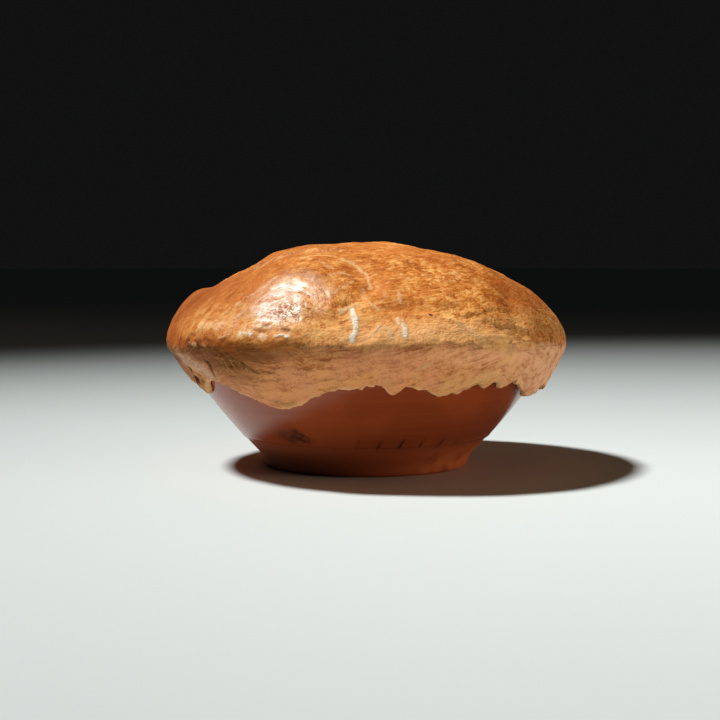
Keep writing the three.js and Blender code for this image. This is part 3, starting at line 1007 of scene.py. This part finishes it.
def domeColor(f, p):
    tone = 0.9 * p.mid + 0.85 * p.small + 0.75 * p.grain + 1.1 * p.line + 0.25 * p.belt - 1.8
    color = f.tint(crust["deep"], crust["golden"], f.fade(tone, -0.30, -0.02))
    color = f.tint(color, crust["pale"], f.fade(tone, 0.0, 0.26))
    color = f.tint(color, crust["palest"], 0.8 * f.fade(tone, 0.24, 0.52))
    color = f.tint(color, crust["patch"], 0.45 * f.fade(p.big, 0.42, 0.65))
    color = f.tint(color, crust["blond"], 0.8 * p.blob * p.blond)
    blistered = f.fade(p.small + 0.6 * p.fringe + 0.4 * p.grain, 0.8, 1.2)
    color = f.tint(color, crust["belt"], 0.6 * p.belt * blistered)
    # browning, and painted shade under the lip
    color = f.tint(color, crust["brown"], 0.9 * p.baked)
    # paler peach, in part painted light at the right of the lip
    color = f.tint(color, crust["peach"], 0.95 * p.peach * f.fade(p.small + p.grain, 0.4, 1.0))
    # painted highlight on the glossy lines
    color = f.tint(color, crust["paintedHighlight"], 0.3 * p.sheen)
    return f.tint(color, crust["crack"], 0.75 * p.cracked)


def skirtColor(f, p):
    # the hang share makes the skirt a little paler towards the torn edge: painted bounce light
    tone = 0.15 * p.hang + 0.5 * p.mid + 0.6 * p.fibre + 0.5 * p.small + 0.5 * p.grain
    color = f.tint(crust["skirtDeep"], crust["skirtPale"], f.fade(tone, 0.88, 1.24))
    color = f.tint(color, crust["skirtPatch"], 0.45 * f.fade(p.big, 0.45, 0.6))
    mottled = f.fade(0.7 * p.mid + p.small + 0.5 * p.fibre, 0.8, 1.3)
    # pink of the flap, and pink and peach that are in part painted light at the right of the lip
    color = f.tint(color, crust["skirtPink"], 0.75 * p.pink * mottled + 0.2 * p.pink)
    stringy = p.fibre + 0.5 * p.small
    color = f.tint(color, crust["skirtPeachAndPaintedLight"], 0.8 * p.peach * f.fade(stringy, 0.45, 0.95))
    color = f.tint(color, crust["skirtStrip"], 0.85 * p.strip * f.fade(stringy, 0.5, 0.95))
    color = f.tint(color, crust["skirtRaw"], 0.85 * p.raw)
    # browner dough and painted shade under the left of the lip
    color = f.tint(color, crust["skirtBrownAndShade"], 0.9 * p.baked)
    # painted highlight along the torn edge
    return f.tint(color, crust["tornEdgeHighlight"], 0.5 * f.fade(p.hang, 0.94, 0.99) * f.fade(p.mid, 0.35, 0.6))


def crustFinish():
    f = Finish("crust_baked")
    p = crustPatterns(f)
    color = f.tint(domeColor(f, p), skirtColor(f, p), p.below)
    dusted = p.flour * (1.5 * p.small + 1.3 * p.grain - 0.4)
    color = f.tint(color, crust["dust"], 0.85 * f.fade(dusted, 0.1, 0.5))
    color = f.tint(color, crust["flour"], f.fade(dusted, 0.45, 0.95))
    color = f.tint(color, crust["scorch"], f.fade(p.scorch + 0.6 * p.grain - 0.3, 0.2, 0.9))
    rough = mix(0.66 + 0.2 * p.small - 0.3 * p.sheen, 0.62 + 0.1 * p.grain, p.below)
    f.set(Base_Color=color, Roughness=rough + 0.3 * p.scorch + 0.3 * p.cracked)
    f.set(Coat_Weight=(0.06 * p.gloss + 0.84 * p.sheen) * (1 - p.cracked) * (1 - p.below))
    f.set(Coat_Roughness=crust["coatRoughness"], Specular_IOR_Level=crust["specular"])
    top = 0.25 * p.small + (0.18 + 0.2 * p.belt) * p.grain + 0.18 * p.line + (0.12 + 0.1 * p.gloss) * p.rings
    atLip = 4 * p.skirt * (1 - p.skirt)
    top = top + (0.03 + 0.06 * p.belt) * p.pimple + 0.3 * atLip * p.fringe - 0.2 * p.cracked
    stringy = 0.75 * p.fibre + 0.4 * p.grain + 0.45 * p.small
    f.relief(top * (1 - p.below) + p.below * stringy)
    return f.material


clay = {
    "glazed": shade(158, 70, 33),
    "glazedDark": shade(144, 62, 28),
    "ring": shade(166, 80, 42),
    "bare": shade(162, 76, 38),
    # painted bounce light, paler on the right of the foot
    "paintedLight": shade(206, 112, 60),
    # painted shade for the left of the foot
    "paintedShade": shade(62, 26, 10),
    "tick": shade(52, 22, 10),
    "smudge": shade(30, 14, 8),
    "bareBelow": (12.4, 13.6),     # heights between which the glaze starts
    "tickAngle": (262, 316),       # slanted ticks where the trimming tool jumped
    "tickEnd": 8,                  # degrees over which they die out
    "tickHeight": 14.5,
    "tickReach": (1.0, 3.4),
    "tickCount": 39,               # if they went all round
    "tickSlant": -0.45,            # degrees of turn for each millimetre up
    "smudgePlace": (-26, -47, 17),
    "smudgeScale": (0.1, 0.1, 0.28),  # wider than high
    "paintedShadeAngle": (182, 212, 225, 285),  # painted shade darkens the foot on the left, where the floor beside it lies in shadow: starts, full, fades, ends
    "paintedShadeHeight": (4, 19),
    # where the painted bounce light lies: starts, full, fades, ends; and how high it reaches
    "paintedLightAngle": (282, 312, 350, 400),
    "paintedLightHeight": (9, 16),
    "coatRoughness": 0.1,
    "specular": 0.26,
}


def clayStretch(f, angle, height, corners, heights):  # low on the wall, along part of the way round
    start, full, fading, end = corners
    around = f.fade(angle, start, full) * (1 - f.fade(angle, fading, end))
    return around * (1 - f.fade(height, *heights))


def clayTicks(f, angle, height, mid):
    first, last = clay["tickAngle"]
    end = clay["tickEnd"]
    wave = (angle + clay["tickSlant"] * height + 2.5 * mid) * (clay["tickCount"] * math.pi / 180)
    spread = f.fade(angle, first, first + end) * (1 - f.fade(angle, last - end, last))
    band = 1 - f.fade(abs(height - clay["tickHeight"]), *clay["tickReach"])
    return f.fade(wave.reckon("SINE", wave), 0.86, 0.99) * band * spread * f.fade(f.lumps(3, 2), 0.3, 0.6)


def claySmudge(f, mid):
    around = f.node("ShaderNodeVectorMath", {"operation": "SUBTRACT"}, {0: f.at, 1: clay["smudgePlace"]})
    around = f.node("ShaderNodeVectorMath", {"operation": "MULTIPLY"}, {0: around, 1: clay["smudgeScale"]})
    away = f.node("ShaderNodeVectorMath", {"operation": "LENGTH"}, {0: around}, "Value")
    return (1 - f.fade(away + 2.4 * mid - 1.2, 0.3, 1.1)) * f.fade(f.lumps(2.2, 3), 0.3, 0.55)


def clayFinish():
    f = Finish("clay_glazed")
    x, y, height = (f.node("ShaderNodeSeparateXYZ", {}, {0: f.at}, axis) for axis in "XYZ")
    angle = y.reckon("ARCTAN2", y, x) * (180 / math.pi) + 360
    big, mid, grain = f.lumps(30, 2), f.lumps(7, 3), f.lumps(0.7, 2)
    rings = f.lumps(1.6, 2, f.stretched(0.02, 0.02, 1))
    bare = 1 - f.fade(height + 1.2 * mid, *clay["bareBelow"])
    ticks, smudge = clayTicks(f, angle, height, mid), claySmudge(f, mid)
    paintedShade = clayStretch(f, angle, height + 3 * mid, clay["paintedShadeAngle"], clay["paintedShadeHeight"])
    paintedLight = clayStretch(f, angle, height + 4 * mid, clay["paintedLightAngle"], clay["paintedLightHeight"])

    color = f.tint(clay["glazed"], clay["glazedDark"], f.fade(big, 0.4, 0.6))
    color = f.tint(color, clay["ring"], 0.25 * f.fade(rings, 0.4, 0.7))
    color = f.tint(color, clay["bare"], 0.7 * bare)
    # painted bounce light on the right of the foot
    color = f.tint(color, clay["paintedLight"], 0.8 * paintedLight * f.fade(mid, 0.3, 0.6))
    # painted shade on the left of the foot, where the floor beside it lies in shadow
    color = f.tint(color, clay["paintedShade"], 0.75 * paintedShade)
    color = f.tint(color, clay["tick"], 0.7 * ticks)
    color = f.tint(color, clay["smudge"], 0.85 * smudge)
    f.set(Base_Color=color, Roughness=0.2 + 0.08 * mid + 0.4 * bare + 0.25 * smudge)
    f.set(Coat_Weight=0.2 * (1 - bare), Coat_Roughness=clay["coatRoughness"])
    f.set(Specular_IOR_Level=clay["specular"])
    f.relief(0.05 * rings + 0.02 * grain + 0.12 * bare * mid - 0.4 * ticks)
    return f.material


# studio

studio = {
    "cameraPlace": (-2.573, -634.72, 88.26),
    "cameraDown": 3.9425,    # degrees below level
    "lens": 74,
    "sensorWidth": 36,
    "middle": (0, 0, 50),    # of the pie
    "keyDistance": 2500,
    "keyTilt": 28,           # from straight up, towards the left
    "keyBehind": 3,
    "keySize": 330,
    "keySpread": 45,         # degrees, so that the floor fades into the dark
    "keyAim": (300, -100, 0),
    "keyPower": 6.5,
    "fillPlace": (3750, -1050, 325),
    "fillSize": 1750,
    "fillSpread": 40,
    "fillPower": 3.5,
    "fillColor": (1, 0.8, 0.62),
    "skyColor": (0.95, 0.97, 1, 1),
    "skyStrength": 0.006,
    "floorRadius": 12000,
    "floorSides": 96,
    "floorColor": shade(212, 219, 216),
    "floorRoughness": 0.6,
}


def floorFinish():
    f = Finish("floor_pale")
    f.set(Base_Color=studio["floorColor"], Roughness=studio["floorRoughness"])
    return f.material


def addLamp(name, place, aim, size, power, spread=180, color=(1, 1, 1)):
    bpy.ops.object.light_add(type="AREA", location=place * mm)
    lamp = bpy.context.object
    lamp.name = name
    lamp.data.shape = "DISK"
    lamp.data.size = size * mm
    lamp.data.energy = power
    lamp.data.spread = math.radians(spread)
    lamp.data.color = color
    lamp.rotation_euler = (place - aim).to_track_quat("Z", "Y").to_euler()


def makeStudio():
    bpy.ops.object.camera_add(location=[v * mm for v in studio["cameraPlace"]],
                              rotation=(math.radians(90 - studio["cameraDown"]), 0, 0))
    camera = bpy.context.object
    camera.name = "camera"
    camera.data.lens = studio["lens"]
    camera.data.sensor_width = studio["sensorWidth"]
    scene = bpy.context.scene
    scene.camera = camera
    side, behind = math.radians(studio["keyTilt"]), math.radians(studio["keyBehind"])
    upward = Vector((-math.tan(side), math.tan(behind), 1)).normalized()
    middle, aim = Vector(studio["middle"]), Vector(studio["keyAim"])
    keyPlace, fillPlace = middle + upward * studio["keyDistance"], Vector(studio["fillPlace"])
    addLamp("key", keyPlace, aim, studio["keySize"], studio["keyPower"], studio["keySpread"])
    addLamp("fill", fillPlace, middle, studio["fillSize"], studio["fillPower"], studio["fillSpread"],
            studio["fillColor"])
    world = bpy.data.worlds.new("studio")
    world.use_nodes = True
    sky = world.node_tree.nodes["Background"]
    sky.inputs["Color"].default_value = studio["skyColor"]
    sky.inputs["Strength"].default_value = studio["skyStrength"]
    scene.world = world
    scene.view_settings.view_transform = "Standard"


def makeFloor():
    radius = studio["floorRadius"] * mm
    bpy.ops.object.select_all(action="DESELECT")
    bpy.ops.mesh.primitive_circle_add(vertices=studio["floorSides"], radius=radius, fill_type="NGON")
    floor = bpy.context.object
    floor.name = "floor"
    bpy.ops.object.mode_set(mode="EDIT")
    bpy.ops.mesh.select_all(action="SELECT")
    bpy.ops.mesh.inset(thickness=0.9 * radius)
    bpy.ops.object.mode_set(mode="OBJECT")
    floor.data.materials.append(floorFinish())


makeStudio()
makeFloor()
print("studio ready")

bowlPiece = makeBowl()
bowlPiece.data.materials.append(clayFinish())
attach(bowlPiece, "root")
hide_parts("clay_bowl")
print("bowl thrown:", len(bowlPiece.data.polygons), "faces")

lidPiece = makeLid()
lidPiece.data.materials.append(crustFinish())
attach(lidPiece, "root")
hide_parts("pastry_lid")
print("lid baked:", len(lidPiece.data.polygons), "faces")
